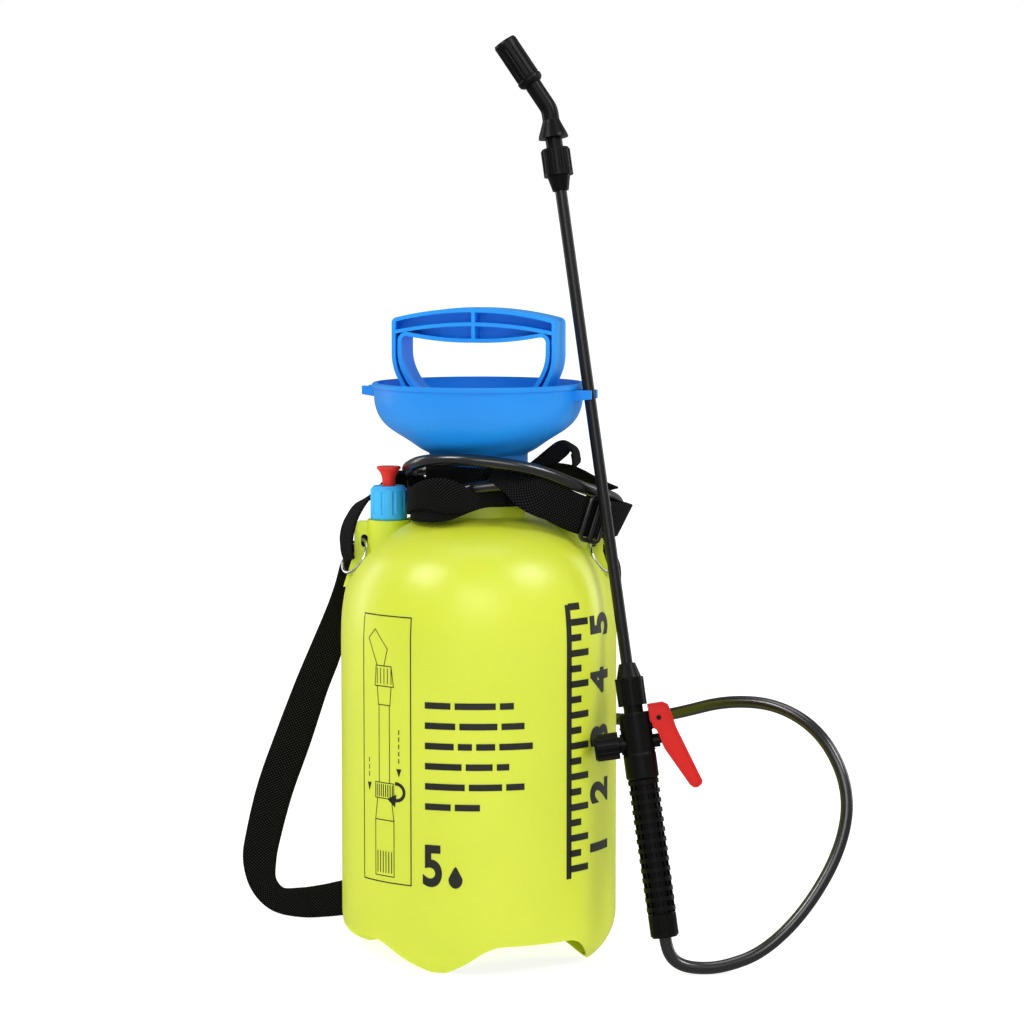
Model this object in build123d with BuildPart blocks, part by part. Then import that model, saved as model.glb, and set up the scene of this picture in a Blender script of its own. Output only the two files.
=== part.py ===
from build123d import *
import os
from math import cos, pi, radians, sin, tan

# A garden pressure sprayer. The origin is on the floor, on the tank's axis.
# +X is the side where the spray gun stands, -Y the front, +Z up. Millimetres.

# Tank
TANK_R = 90.0
TANK_WALL = 2.0
TANK_CORNER = 36.0
BASE_DROP = 8.0
STRAIGHT_TOP = 205.0
SHOULDER = ((88.6, 230, 12), (83.5, 250, 34), (74, 266, 50), (59, 279, 66))
SHOULDER_SLOPE = radians(41.3)
TANK_TOP = 287.0
NECK_R = 30.0
NECK_BORE_R = 26.5
NECK_TOP = 317.7
ARCH = ((-80, -9), (-60, -9), (-31, 20), (31, 20), (60, -9), (80, -9))
ARCH_RADII = (8, 22, 22, 8)
ARCH_TURNS = (25, 115)
BOSS_X = 58.5
BOSS_TOP = 284.0
BOSS_R = 15.0
NOTCH_HALF = 17.0
NOTCH_FLARE = 25.0
LUG_EDGE = 81.0
LUG_HALF = 2.0
HOLE_X = 74.5
HOLE_Z = 270.0

# Funnel and lance clips
FUNNEL_WALL = 2.0
FUNNEL = ((33, 328, -68), (45, 335.5, -57), (56, 342.5, -50), (64, 350.5, -34), (67.4, 359.5, -11))
RIM_R = 68.0
RIM_TOP = 373.3
COLLAR_R = 32.0
LEDGE_TOP = 321.0
CLIP_TURN = -21.3
CLIP_GAP_HALF = 4.4
PRONG = 2.6

# Pump
BARREL_R = 22.0
BARREL_BORE_R = 20.0
BARREL_FOOT = 36.0
ROD_R = 5.0
PISTON_Z = 50.0
CAP_Z = 322.6
HUB_TOP = 345.0
HANDLE_TURN = -16.0
HANDLE_HALF = 55.0
HANDLE_DEPTH = 26.0
HANDLE_TOP = 421.6
RIM_WIDTH = 2.6
WEB = 2.8

# Relief valve, strap rings, outlet
VALVE_R = 12.0
RING_R = 12.0
RING_WIRE = 1.0
OUTLET = Vector(21.2, 58.3, 298)

# Spray gun and lance: one straight axis that leans left and back, from the end nut upwards
GUN_END = Vector(118.3, -78.2, 24.2)
GUN_UP = Vector(-0.138, 0.148, 1).normalized()
LANCE_R = 3.75
GRIP_FOOT = 15.5
GRIP_TOP = 102.8
GRIP_RINGS = 14
VALVE_AT = 124.7
PIVOT = (15.2, 138.9)
LEVER_HALF = 6.4
TRIGGER_TRAVEL = 18.0
NECK_AT = 144.0
LOWER_NUT = 148.6
LANCE_FOOT = 147.0
LANCE_TOP = 498.0
UPPER_NUT = 482.4
BEND_AT = 535.5
NOZZLE_DIR = Vector(-0.555, 0.08, 0.828).normalized()
NOZZLE_END = 52.7

# Hose and strap
HOSE_R = 4.0
STRAP = 25.0
STRAP_HALF = 0.8

# The hose's route, from the outlet nut twice round the neck, down behind the tank,
# round in the loop on the right and along the floor to the gun's end nut.
HOSE_ROUTE = (
    (-4.3, 58.3, 298), (-24, 58.3, 298), (-40, 42, 297.5), (-43.5, 12, 297.5), (-38, -16, 300),
    (-22, -37, 304.5), (2, -45.5, 309), (26, -40, 311), (43, -22, 311), (48, 3, 311),
    (40, 28, 313), (19, 44, 314), (-8, 49, 314), (-33, 38, 314), (-46, 15, 314),
    (-46, -10, 316), (-34, -35, 322), (-10, -49, 326), (16, -51.5, 323), (41, -47, 316),
    (65, -35, 308), (84, -17, 302), (97, 5, 297), (101, 33, 290), (91, 63, 275),
    (66, 89, 251), (42, 108, 220), (37, 113, 186), (51, 106, 156), (76, 84, 141),
    (103, 56, 142), (132, 31, 151), (164, 10, 163), (197, -10, 163), (224, -30, 146),
    (239, -44, 112), (233, -53, 76), (210, -62, 38), (182, -69, 12), (155, -76.5, 4.05),
    (136, -79, 4.2), (124.8, -79.8, 8.2), (119.38, -79.36, 16.36), (118.3, -78.2, 24.2),
)


def at(turn, radius, z=0.0):
    """The point at a turn in degrees from +X, a radius and a height."""
    return Vector(radius * cos(radians(turn)), radius * sin(radians(turn)), z)


def inset_point(point, inset):
    """A profile point moved inwards along its normal, whose angle is its third value."""
    radius, height, angle = point
    return (radius - inset * cos(radians(angle)), height - inset * sin(radians(angle)))


def outline(plane, *points):
    """A closed face of straight edges."""
    with BuildSketch(plane) as face:
        with BuildLine():
            Polyline(*points, close=True)
        make_face()
    return face.sketch


def circles(plane, ring, count, radius):
    """Equal circles round a centre."""
    with BuildSketch(plane) as face:
        with PolarLocations(ring, count):
            Circle(radius)
    return face.sketch


def disc(plane, radius, bore=0.0):
    """A disc or a washer's face."""
    with BuildSketch(plane) as face:
        Circle(radius)
        if bore > 0:
            Circle(bore, mode=Mode.SUBTRACT)
    return face.sketch


def ribbon(plane, points, radius, width=2 * STRAP_HALF):
    """A thin band's face along straight runs with round corners."""
    with BuildSketch(plane) as face:
        with BuildLine():
            FilletPolyline(*points, radius=radius)
        trace(line_width=width)
    return face.sketch


def finish(part, name):
    """Label a sub-part and write its file."""
    part.label = name
    export_step(part, f"parts/{name}.step")


# Planes. On each the sketch's y runs along the piece's axis.
GUN_SIDE = Vector(GUN_UP.Z, 0, -GUN_UP.X).normalized()
GUN_SECTION = Plane(origin=GUN_END, x_dir=GUN_SIDE, z_dir=GUN_SIDE.cross(GUN_UP))
GUN_AXIS = Axis(GUN_END, GUN_UP)
PIN_DIR = GUN_UP.cross(GUN_SIDE)
PIN_PLANE = Plane(
    origin=GUN_END + GUN_SIDE * PIVOT[0] + GUN_UP * PIVOT[1],
    x_dir=GUN_SIDE,
    z_dir=GUN_SECTION.z_dir,
)
NOZZLE_BEND = GUN_END + GUN_UP * BEND_AT
NOZZLE_SIDE = Vector(NOZZLE_DIR.Z, 0, -NOZZLE_DIR.X).normalized()
NOZZLE_SECTION = Plane(origin=NOZZLE_BEND, x_dir=NOZZLE_SIDE, z_dir=NOZZLE_SIDE.cross(NOZZLE_DIR))
NOZZLE_AXIS = Axis(NOZZLE_BEND, NOZZLE_DIR)
CROSS_CENTRE = GUN_END + GUN_UP * VALVE_AT
CROSS_SECTION = Plane(origin=CROSS_CENTRE, x_dir=GUN_UP, z_dir=GUN_SIDE.cross(GUN_UP))
CROSS_AXIS = Axis(CROSS_CENTRE, GUN_SIDE)
HANDLE_PLANE = Plane(
    origin=(0, 0, 0),
    x_dir=at(HANDLE_TURN, 1),
    z_dir=at(HANDLE_TURN - 90, 1),
)


def along_gun(distance):
    """The plane across the gun's axis at a distance from its end nut."""
    return Plane(origin=GUN_END + GUN_UP * distance, x_dir=GUN_SIDE, z_dir=GUN_UP)


def along_nozzle(distance):
    """The plane across the nozzle's axis at a distance from the bend."""
    return Plane(origin=NOZZLE_BEND + NOZZLE_DIR * distance, x_dir=NOZZLE_SIDE, z_dir=NOZZLE_DIR)


def across_gun(distance):
    """The plane across the gun's valve, at a distance from the gun's axis."""
    return Plane(origin=CROSS_CENTRE + GUN_SIDE * distance, x_dir=GUN_UP, z_dir=GUN_SIDE)


def tank_form(inset):
    """The blown body without its neck, every wall moved inwards by inset."""
    lines = [inset_point(point, inset) for point in SHOULDER]
    shift = (inset * sin(SHOULDER_SLOPE), inset * cos(SHOULDER_SLOPE))
    with BuildPart() as form:
        with BuildSketch(Plane.XZ):
            with BuildLine():
                base = Line((0, inset - BASE_DROP), (TANK_R - TANK_CORNER, inset - BASE_DROP))
                bend = JernArc(base @ 1, (1, 0), TANK_CORNER - inset, 90)
                side = Line(bend @ 1, (TANK_R - inset, STRAIGHT_TOP))
                top = Spline(side @ 1, *lines, (34, TANK_TOP - inset), tangents=((0, 1), (-1, 0.12)))
                Polyline(top @ 1, (0, TANK_TOP - inset), base @ 0)
            make_face()
        revolve(axis=Axis.Z)
        for turn in ARCH_TURNS:
            with BuildSketch(Plane(origin=at(turn, -2 * TANK_R), z_dir=at(turn, 1), x_dir=at(turn + 90, 1))):
                with BuildLine():
                    FilletPolyline(*ARCH, radius=ARCH_RADII)
                    Polyline(ARCH[-1], (80, -30), (-80, -30), ARCH[0])
                make_face()
                if inset > 0:
                    offset(amount=inset, kind=Kind.INTERSECTION)
            extrude(amount=4 * TANK_R, mode=Mode.SUBTRACT)
        split(bisect_by=Plane.XY.offset(inset), keep=Keep.TOP)
        for side_sign in (-1, 1):
            notch = outline(
                Plane.XZ,
                (side_sign * (42 - shift[0]), BOSS_TOP - 1 - shift[1]),
                (side_sign * (42 - shift[0]), 300),
                (side_sign * 100, 300),
                (side_sign * (100 - shift[0]), BOSS_TOP - 1 - 58 * tan(SHOULDER_SLOPE) - shift[1]),
            )
            extrude(notch, amount=NOTCH_HALF + inset, both=True, mode=Mode.SUBTRACT)
            for wing_side in (-1, 1):
                wing = notch.moved(Location((0, wing_side * (NOTCH_HALF + inset), 0)))
                extrude(wing, amount=20, dir=(0, wing_side, 0), taper=NOTCH_FLARE, mode=Mode.SUBTRACT)
    return form.part


os.makedirs("parts", exist_ok=True)
cavity = tank_form(TANK_WALL)

with BuildPart() as tank:
    add(tank_form(0))
    with Locations((0, 0, TANK_TOP - 6)):
        Cylinder(NECK_R, NECK_TOP - TANK_TOP + 6, align=(Align.CENTER, Align.CENTER, Align.MIN))
    for boss_x in (-BOSS_X, BOSS_X):
        with Locations((boss_x, 0, 262)):
            Cylinder(BOSS_R - 1, BOSS_TOP - 262, align=(Align.CENTER, Align.CENTER, Align.MIN))
        lug = outline(
            Plane.XZ,
            *((x if boss_x > 0 else -x, z) for x, z in (
                (46, 262), (46, BOSS_TOP - 1), (LUG_EDGE - 3, BOSS_TOP - 1), (LUG_EDGE, BOSS_TOP - 4),
                (LUG_EDGE, 263), (LUG_EDGE + 7.4, 240), (72, 240), (60, 255),
            )),
        )
        extrude(lug, amount=LUG_HALF, both=True)
    with Locations((OUTLET.X, OUTLET.Y, 262)):
        Cylinder(9.5, BOSS_TOP - 262, align=(Align.CENTER, Align.CENTER, Align.MIN))
    add(cavity, mode=Mode.SUBTRACT)
    with Locations((0, 0, TANK_TOP - 10)):
        Cylinder(NECK_BORE_R, 60, align=(Align.CENTER, Align.CENTER, Align.MIN), mode=Mode.SUBTRACT)
    with Locations((-BOSS_X, 0, 250)):
        Cylinder(7.5, 60, align=(Align.CENTER, Align.CENTER, Align.MIN), mode=Mode.SUBTRACT)
    with Locations((OUTLET.X, OUTLET.Y, 250)):
        Cylinder(4.4, 60, align=(Align.CENTER, Align.CENTER, Align.MIN), mode=Mode.SUBTRACT)
    for hole_x in (-HOLE_X, HOLE_X):
        with BuildSketch(Plane.XZ.offset(-8)):
            with Locations((hole_x, HOLE_Z)):
                SlotOverall(8.5, 4.4, rotation=90)
        extrude(amount=16, mode=Mode.SUBTRACT)
finish(tank.part, "tank")

with BuildPart() as funnel:
    inner = [inset_point(point, FUNNEL_WALL) for point in FUNNEL]
    outer = [point[:2] for point in FUNNEL]
    with BuildSketch(Plane.XZ):
        with BuildLine():
            bowl = Spline(*outer, (RIM_R, RIM_TOP - 3), tangents=((1, 0.4), (0.03, 1)))
            lining = Spline(*inner, (RIM_R - FUNNEL_WALL, RIM_TOP - 3), tangents=((1, 0.4), (0.03, 1)))
            Polyline(
                bowl @ 1, (RIM_R + 1.2, RIM_TOP - 3), (RIM_R + 1.2, RIM_TOP - 0.8),
                (RIM_R + 0.4, RIM_TOP), (RIM_R - FUNNEL_WALL, RIM_TOP), lining @ 1,
            )
            Polyline(
                lining @ 0, (30.2, 329.5), (30.2, LEDGE_TOP), (NECK_BORE_R, LEDGE_TOP),
                (NECK_BORE_R, NECK_TOP), (NECK_R + 0.3, NECK_TOP), (NECK_R + 0.3, 296),
                (COLLAR_R, 296), (COLLAR_R, 327), bowl @ 0,
            )
        make_face()
    revolve(axis=Axis.Z)
    for clip in (CLIP_TURN, CLIP_TURN + 180):
        for side_sign in (-1, 1):
            start = at(clip + 90, side_sign * (CLIP_GAP_HALF + PRONG / 2))
            prong_plane = Plane(origin=start, x_dir=at(clip, 1), z_dir=at(clip - 90, 1))
            prong = outline(
                prong_plane, (66.9, 369.8), (79.5, 369.8), (79.5, 364.2), (66.9, 362.5),
            )
            extrude(prong, amount=PRONG / 2, both=True)
finish(funnel.part, "funnel")

with BuildPart() as neck_gasket:
    extrude(disc(Plane.XY.offset(LEDGE_TOP), 29.6, NECK_BORE_R + 0.3), amount=CAP_Z - LEDGE_TOP)
finish(neck_gasket.part, "neck_gasket")

with BuildPart() as pump_cap:
    revolve(
        outline(
            Plane.XZ,
            (6, CAP_Z), (23.4, CAP_Z), (23.4, 302), (26.1, 302), (26.1, CAP_Z), (29.8, CAP_Z),
            (29.8, 328), (17, 328), (17, HUB_TOP), (9, HUB_TOP), (9, 330), (6, 330),
        ),
        axis=Axis.Z,
    )
    with BuildSketch(Plane.XY.offset(328)):
        with PolarLocations(22.5, 6):
            Rectangle(10, 2.4)
    extrude(amount=6)
finish(pump_cap.part, "pump_cap")

with BuildPart() as pump_barrel:
    revolve(
        outline(
            Plane.XZ,
            (0, BARREL_FOOT), (BARREL_R, BARREL_FOOT), (BARREL_R, 319), (23.3, 319),
            (23.3, CAP_Z), (BARREL_BORE_R, CAP_Z), (BARREL_BORE_R, BARREL_FOOT + 4),
            (0, BARREL_FOOT + 4),
        ),
        axis=Axis.Z,
    )
    extrude(disc(Plane.XY.offset(BARREL_FOOT), 2.3), amount=4, mode=Mode.SUBTRACT)
    extrude(circles(Plane.XY.offset(BARREL_FOOT), 8.5, 6, 2.2), amount=4, mode=Mode.SUBTRACT)
finish(pump_barrel.part, "pump_barrel")

with BuildPart() as foot_valve:
    revolve(
        outline(
            Plane.XZ,
            (0, 33.4), (13, 33.4), (13, 35.8), (1.9, 35.8), (1.9, 41.6), (3.6, 41.6), (3.6, 43),
            (0, 43),
        ),
        axis=Axis.Z,
    )
finish(foot_valve.part, "foot_valve")

with BuildPart() as guide_bush:
    extrude(disc(Plane.XY.offset(330.2), 8.94, ROD_R + 0.06), amount=HUB_TOP - 329)
finish(guide_bush.part, "guide_bush")

with BuildPart() as pump_rod:
    extrude(disc(Plane.XY.offset(PISTON_Z + 10), ROD_R), amount=358 - PISTON_Z - 10)
    chamfer(pump_rod.edges().group_by(Axis.Z)[-1], 1)
finish(pump_rod.part, "pump_rod")

with BuildPart() as piston:
    revolve(
        outline(
            Plane.XZ,
            (0, PISTON_Z), (17, PISTON_Z), (17, PISTON_Z + 3), (19.6, PISTON_Z + 3),
            (19.6, PISTON_Z + 10), (0, PISTON_Z + 10),
        ),
        axis=Axis.Z,
    )
finish(piston.part, "piston")

with BuildPart() as piston_seal:
    revolve(
        outline(
            Plane.XZ,
            (0, PISTON_Z - 2), (16.5, PISTON_Z - 2), (18.4, PISTON_Z - 5), (19.93, PISTON_Z - 5),
            (19.93, PISTON_Z), (0, PISTON_Z),
        ),
        axis=Axis.Z,
    )
finish(piston_seal.part, "piston_seal")

with BuildSketch(HANDLE_PLANE) as opening:
    with BuildLine():
        sag = ThreePointArc((0, 399.4), (24, 400.3), (45, 403.4))
        corner = RadiusArc(sag @ 1, (48.4, 399.6), 3.5)
        FilletPolyline(corner @ 1, (48.4, 386), (40.5, 371), (24, 360.5), (0, 360.5), radius=(30, 26, 26))
        mirror(about=Plane.YZ)
    make_face()

with BuildSketch(HANDLE_PLANE) as bow:
    with BuildLine():
        crown = ThreePointArc((0, HANDLE_TOP), (28, HANDLE_TOP - 1.7), (HANDLE_HALF - 3, HANDLE_TOP - 6.2))
        flank = RadiusArc(crown @ 1, (HANDLE_HALF, HANDLE_TOP - 10.2), 3.8)
        FilletPolyline(
            flank @ 1, (HANDLE_HALF, 383.5), (45.5, 365), (24, 349), (0, 349), radius=(34, 30, 30),
        )
        mirror(about=Plane.YZ)
    make_face()

with BuildSketch(HANDLE_PLANE) as recess:
    add(bow.sketch_local)
    offset(amount=-RIM_WIDTH, mode=Mode.REPLACE)
    with BuildSketch(mode=Mode.SUBTRACT):
        add(opening.sketch_local)
        offset(amount=RIM_WIDTH, mode=Mode.REPLACE)
    Rectangle(2.4, 900, mode=Mode.SUBTRACT)
    with BuildLine():
        ThreePointArc((-60, 405.5), (0, 412.5), (60, 405.5))
        Line((60, 405.5), (60, 403.1))
        ThreePointArc((60, 403.1), (0, 410.1), (-60, 403.1))
        Line((-60, 403.1), (-60, 405.5))
    make_face(mode=Mode.SUBTRACT)

with BuildPart() as handle:
    extrude(bow.sketch, amount=HANDLE_DEPTH / 2, both=True)
    extrude(opening.sketch, amount=HANDLE_DEPTH, both=True, mode=Mode.SUBTRACT)
    for face_side in (-1, 1):
        floor_shift = Location(HANDLE_PLANE.z_dir * (face_side * WEB / 2))
        extrude(
            recess.sketch.moved(floor_shift),
            amount=HANDLE_DEPTH,
            dir=HANDLE_PLANE.z_dir * face_side,
            mode=Mode.SUBTRACT,
        )
    extrude(disc(Plane.XY.offset(347), 12), amount=15)
    extrude(disc(Plane.XY.offset(340), ROD_R), amount=18, mode=Mode.SUBTRACT)
finish(handle.part, "handle")

with BuildPart() as relief_body:
    revolve(
        outline(
            Plane.XZ,
            (-BOSS_X, 268), (-BOSS_X + 7.1, 268), (-BOSS_X + 7.1, BOSS_TOP + 0.2),
            (-BOSS_X + VALVE_R - 0.6, BOSS_TOP + 0.2), (-BOSS_X + VALVE_R, BOSS_TOP + 1.5),
            (-BOSS_X + VALVE_R, 303.5), (-BOSS_X + VALVE_R - 2, 306), (-BOSS_X, 306),
        ),
        axis=Axis((-BOSS_X, 0, 0), (0, 0, 1)),
    )
    extrude(disc(Plane((-BOSS_X, 0, 268)), 2.6), amount=3, mode=Mode.SUBTRACT)
    extrude(disc(Plane((-BOSS_X, 0, 271)), 4.9), amount=25, mode=Mode.SUBTRACT)
    extrude(disc(Plane((-BOSS_X, 0, 290)), 4.4), amount=20, mode=Mode.SUBTRACT)
    flutes = circles(Plane((-BOSS_X, 0, BOSS_TOP + 4)), VALVE_R + 0.7, 10, 1.5)
    extrude(flutes, amount=15, mode=Mode.SUBTRACT)
finish(relief_body.part, "relief_body")

with BuildPart() as relief_pull:
    with BuildSketch(Plane.XZ):
        with BuildLine():
            foot = Polyline(
                (-BOSS_X, 273.2), (-BOSS_X + 1.8, 273.2), (-BOSS_X + 1.8, 296.2),
                (-BOSS_X + 4.25, 296.2), (-BOSS_X + 4.25, 309),
            )
            flare = Spline(
                foot @ 1, (-BOSS_X + 5.2, 313.5), (-BOSS_X + 8, 317.2), tangents=((0, 1), (1, 0.7)),
            )
            Polyline(flare @ 1, (-BOSS_X + 7.6, 318.6), (-BOSS_X, 318.2), foot @ 0)
        make_face()
    revolve(axis=Axis((-BOSS_X, 0, 0), (0, 0, 1)))
finish(relief_pull.part, "relief_pull")

with BuildPart() as relief_seal:
    extrude(disc(Plane((-BOSS_X, 0, 271.2)), 4.4), amount=2)
finish(relief_seal.part, "relief_seal")

with BuildPart() as relief_spring:
    with BuildLine():
        coil = Helix(pitch=3.2, height=19.2, radius=3.3, center=(-BOSS_X, 0, 275.5))
    with BuildSketch(Plane(origin=coil @ 0, z_dir=coil % 0)):
        Circle(0.45)
    sweep(path=coil, is_frenet=True)
finish(relief_spring.part, "relief_spring")

for ring_name, sign in (("strap_ring_left", -1), ("strap_ring_right", 1)):
    down = Vector(sign * 0.55, 0, -0.835)
    front = Vector(-sign * 0.4, -0.8776, -0.2635)
    centre = Vector(sign * HOLE_X, 0, HOLE_Z) + down * RING_R
    with BuildPart(Plane(origin=centre, z_dir=down.cross(front))) as strap_ring:
        Torus(RING_R, RING_WIRE)
    finish(strap_ring.part, ring_name)


def along_outlet(distance):
    """The plane across the outlet's horizontal branch."""
    return Plane(origin=OUTLET - Vector(distance, 0, 0), x_dir=(0, 1, 0), z_dir=(-1, 0, 0))


with BuildPart() as outlet_elbow:
    extrude(disc(Plane((OUTLET.X, OUTLET.Y, 268)), 4.2), amount=16.2)
    extrude(disc(Plane((OUTLET.X, OUTLET.Y, BOSS_TOP + 0.2)), 8), amount=5)
    extrude(disc(Plane((OUTLET.X, OUTLET.Y, BOSS_TOP + 5)), 6.4), amount=15)
    extrude(disc(along_outlet(0), 5.6), amount=17)
    extrude(disc(along_outlet(0), 1.8), amount=17, mode=Mode.SUBTRACT)
    extrude(disc(Plane((OUTLET.X, OUTLET.Y, 268)), 1.8), amount=30, mode=Mode.SUBTRACT)
finish(outlet_elbow.part, "outlet_elbow")

with BuildPart() as outlet_nut:
    extrude(disc(along_outlet(12), 8.6), amount=13.5)
    extrude(disc(along_outlet(12), 5.95), amount=10, mode=Mode.SUBTRACT)
    extrude(disc(along_outlet(12), 2.6), amount=13.5, mode=Mode.SUBTRACT)
    extrude(circles(along_outlet(12), 9.1, 16, 0.9), amount=11, mode=Mode.SUBTRACT)
finish(outlet_nut.part, "outlet_nut")

with BuildPart() as dip_tube:
    extrude(disc(Plane((OUTLET.X, OUTLET.Y, 34)), 3.4, 2.2), amount=234)
finish(dip_tube.part, "dip_tube")

with BuildPart() as dip_strainer:
    extrude(disc(Plane((OUTLET.X, OUTLET.Y, 18)), 6), amount=16)
    extrude(disc(Plane((OUTLET.X, OUTLET.Y, 21)), 4.4), amount=13, mode=Mode.SUBTRACT)
    for level in (22.5, 26, 29.5):
        with Locations(Plane((OUTLET.X, OUTLET.Y, level))):
            with PolarLocations(5.2, 6):
                Box(3, 1.4, 2, mode=Mode.SUBTRACT)
finish(dip_strainer.part, "dip_strainer")

with BuildPart() as gun_hose_nut:
    revolve(
        outline(
            GUN_SECTION,
            (2.6, 0), (7.6, 0), (9, 1.6), (9, 15), (6.6, 15), (6.6, 3), (2.6, 3),
        ),
        axis=GUN_AXIS,
    )
    extrude(circles(along_gun(2.4), 9.35, 24, 0.75), amount=13, mode=Mode.SUBTRACT)
finish(gun_hose_nut.part, "gun_hose_nut")

with BuildPart() as gun_grip:
    revolve(
        outline(
            GUN_SECTION,
            (4, 3.6), (6.3, 3.6), (6.3, GRIP_FOOT), (7.5, GRIP_FOOT), (8.1, GRIP_TOP - 2),
            (6.2, GRIP_TOP - 2), (6.2, 18), (4, 18),
        ),
        axis=GUN_AXIS,
    )
    pitch = (GRIP_TOP - GRIP_FOOT) / GRIP_RINGS
    for number in range(GRIP_RINGS):
        place = GRIP_FOOT + number * pitch
        ring_r = 9.3 + 0.6 * number / GRIP_RINGS
        extrude(disc(along_gun(place + pitch - 4.6), ring_r, 6.9), amount=2.8)
    with BuildSketch(along_gun(GRIP_FOOT)):
        with PolarLocations(7.75, 12, start_angle=15):
            Rectangle(2.6, 0.9)
    extrude(amount=GRIP_TOP - GRIP_FOOT - 3)
finish(gun_grip.part, "gun_grip")

with BuildPart() as gun_filter:
    extrude(disc(along_gun(26), 5.2, 3.6), amount=66)
    extrude(circles(along_gun(26), 5.6, 12, 0.8), amount=66, mode=Mode.SUBTRACT)
finish(gun_filter.part, "gun_filter")

with BuildPart() as gun_body:
    revolve(
        outline(
            GUN_SECTION,
            (3.9, GRIP_TOP - 1.8), (9, GRIP_TOP - 1.8), (10.5, GRIP_TOP), (10.5, GRIP_TOP + 14),
            (10.1, GRIP_TOP + 15.8), (10.1, NECK_AT - 0.6), (9.6, NECK_AT), (6.2, NECK_AT),
            (6.2, 156), (3.9, 156),
        ),
        axis=GUN_AXIS,
    )
    for ring_at in (119, 126.5, 134, 141.5):
        extrude(disc(along_gun(ring_at), 10.6, 8), amount=1.2)
    with BuildSketch(along_gun(118)):
        with PolarLocations(9.4, 6, start_angle=-90):
            Rectangle(2.6, 1.5)
    extrude(amount=25.5)
    extrude(disc(across_gun(7), 4.3), amount=7)
    extrude(disc(across_gun(-7), 6.6), amount=-4)
    extrude(disc(across_gun(-7), 5.2), amount=-8)
    ear = outline(
        GUN_SECTION,
        (8, 131.5), (8, 144), (16, 144), (18.6, 141), (18.6, 136.5), (15.5, 133.5),
    )
    extrude(ear, amount=2, both=True)
    extrude(disc(across_gun(18), 2.3), amount=-23, mode=Mode.SUBTRACT)
    extrude(disc(across_gun(-5), 4.1), amount=-10, mode=Mode.SUBTRACT)
    extrude(disc(PIN_PLANE, 1.5), amount=4, both=True, mode=Mode.SUBTRACT)
finish(gun_body.part, "gun_body")

with BuildPart() as trigger_pin:
    extrude(disc(PIN_PLANE, 1.45), amount=6.3, both=True)
finish(trigger_pin.part, "trigger_pin")

with BuildPart() as trigger:
    with BuildSketch(GUN_SECTION) as lever:
        with BuildLine():
            Polyline(
                (8.2, 147.2), (10, 148.4), (19, 148.6), (22.2, 146.6), (24, 139), (25.3, 131.6),
                (37.2, 95.6), (36.6, 93.4), (33.6, 91.6), (31.2, 91.8), (29.4, 93.4), (16.6, 118.2),
                (15.2, 122.6), (13.2, 131), (8.8, 134.4), close=True,
            )
        make_face()
        fillet(lever.vertices(), 0.8)
    extrude(amount=LEVER_HALF, both=True)
    slot = outline(GUN_SECTION, (0, 112), (19.9, 112), (19.9, 133), (21, 145.6), (0, 145.6))
    extrude(slot, amount=2.4, both=True, mode=Mode.SUBTRACT)
    valve_way = outline(GUN_SECTION, (0, 112), (19.4, 112), (19.4, 131), (0, 131))
    extrude(valve_way, amount=4.8, both=True, mode=Mode.SUBTRACT)
    extrude(disc(PIN_PLANE, 1.5), amount=8, both=True, mode=Mode.SUBTRACT)
    for press in (0, -TRIGGER_TRAVEL):
        clear_up = GUN_UP.rotate(Axis((0, 0, 0), PIN_DIR), press)
        lean = (GUN_END - PIN_PLANE.origin).rotate(Axis((0, 0, 0), PIN_DIR), press)
        clear_foot = PIN_PLANE.origin + lean
        with BuildSketch(Plane(origin=clear_foot, z_dir=clear_up), mode=Mode.PRIVATE) as room:
            Circle(11.3)
        extrude(room.sketch, amount=170, dir=clear_up, mode=Mode.SUBTRACT)
    for lever_side in (-1, 1):
        with BuildSketch(GUN_SECTION.offset(lever_side * LEVER_HALF), mode=Mode.PRIVATE) as dish:
            add(lever.sketch_local)
            offset(amount=-1.3, kind=Kind.INTERSECTION, mode=Mode.REPLACE)
        extrude(dish.sketch, amount=0.6, dir=GUN_SECTION.z_dir * -lever_side, mode=Mode.SUBTRACT)
finish(trigger.part, "trigger")

with BuildPart() as valve_stem:
    extrude(disc(across_gun(-7), 2.2), amount=26.2)
    extrude(disc(across_gun(-7), 3.7), amount=-2)
finish(valve_stem.part, "valve_stem")

with BuildPart() as valve_seal:
    extrude(disc(across_gun(-7), 3.7, 2.2), amount=1.7)
finish(valve_seal.part, "valve_seal")

with BuildPart() as valve_spring:
    with BuildLine():
        turns = Helix(
            pitch=2.2, height=13.2, radius=2.8,
            center=CROSS_CENTRE - GUN_SIDE * 9.5, direction=-GUN_SIDE,
        )
    with BuildSketch(Plane(origin=turns @ 0, z_dir=turns % 0)):
        Circle(0.35)
    sweep(path=turns, is_frenet=True)
finish(valve_spring.part, "valve_spring")

with BuildPart() as valve_cap:
    revolve(
        outline(
            CROSS_SECTION,
            (0, 28), (7.6, 28), (8.7, 26.4), (8.7, 12.4), (5.5, 12.4), (5.5, 24), (0, 24),
        ),
        axis=CROSS_AXIS,
    )
    extrude(circles(across_gun(-13.4), 9.1, 16, 0.9), amount=-12, mode=Mode.SUBTRACT)
finish(valve_cap.part, "valve_cap")

with BuildPart() as lance_lower_nut:
    revolve(
        outline(
            GUN_SECTION,
            (6.6, LOWER_NUT), (9.2, LOWER_NUT), (9.2, 166.4), (7.9, 166.6), (5.3, 175.8),
            (4, 175.8), (4, 158.6), (6.6, 158.6),
        ),
        axis=GUN_AXIS,
    )
    extrude(circles(along_gun(LOWER_NUT), 9.7, 14, 1.1), amount=16, mode=Mode.SUBTRACT)
finish(lance_lower_nut.part, "lance_lower_nut")

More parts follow.
